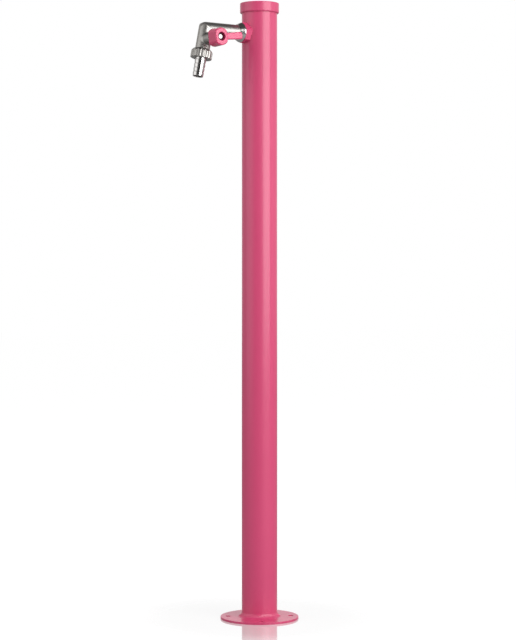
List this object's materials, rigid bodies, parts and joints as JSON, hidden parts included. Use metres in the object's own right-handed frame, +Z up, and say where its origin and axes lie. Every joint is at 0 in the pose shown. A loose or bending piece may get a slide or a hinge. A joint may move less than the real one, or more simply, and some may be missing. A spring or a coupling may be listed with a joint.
{
  "type": "garden standpipe",
  "caption": "Round painted post on a bolted flange, with an angled ball tap near the top, a short lever and a barbed hose tail held by a union nut.",
  "frame": {"origin": "on the column's axis at the underside of the base flange, the centre of the anchor circle", "axes": "+Z up along the column, -Y out along the tap, +X towards the side that carries the lever"},
  "size_m": [0.132, 0.2021, 1.04],
  "materials": {
    "paint": "smooth pink enamel",
    "lever_paint": "smooth pink enamel",
    "plating": "polished plating",
    "satin_plating": "satin plating",
    "brass": "machined",
    "copper": "drawn tube",
    "rubber": "moulded",
    "seal_plastic": "machined"
  },
  "bodies": {
    "standpipe": {"column_tube": "paint", "base_flange": "paint", "base_weld": "paint", "top_cap": "paint", "cap_o_ring": "rubber", "outlet_socket": "paint", "riser_elbow": "brass", "elbow_olive": "brass", "elbow_nut": "brass", "riser_pipe": "copper", "inlet_olive": "brass", "inlet_nut": "brass", "inlet_adaptor": "brass", "inlet_gasket": "rubber", "rosette": "satin_plating", "tap_body": "satin_plating", "upper_seat": "seal_plastic", "lower_seat": "seal_plastic", "thrust_washer": "seal_plastic", "stem_packing": "seal_plastic", "gland_nut": "satin_plating", "outlet_nipple": "satin_plating"},
    "valve": {"valve_ball": "plating", "valve_stem": "plating", "lever_handle": "lever_paint", "handle_washer": "satin_plating", "handle_nut": "satin_plating"},
    "tail": {"hose_tail": "plating", "outlet_washer": "rubber"},
    "nut": {"union_nut": "satin_plating"}
  },
  "joints": [
    {"name": "lever_turn", "type": "hinge", "parent": "standpipe", "child": "valve", "pos_m": [0, -0.11216, 0.97051], "axis": [-1, 0, 0], "range_deg": [0, 90]},
    {"name": "tail_travel", "type": "slide", "parent": "standpipe", "child": "tail", "axis": [0, -0.1994, -0.9799], "range_m": [0, 0.00635]},
    {"name": "nut_turn", "type": "hinge", "parent": "tail", "child": "nut", "pos_m": [0, -0.117, 0.9467], "axis": [0, -0.1994, -0.9799], "range_deg": [0, 1260.1]}
  ],
  "couplings": [
    {"joint": "nut_turn", "follows": "tail_travel", "rad_per_m": 3463.7}
  ]
}
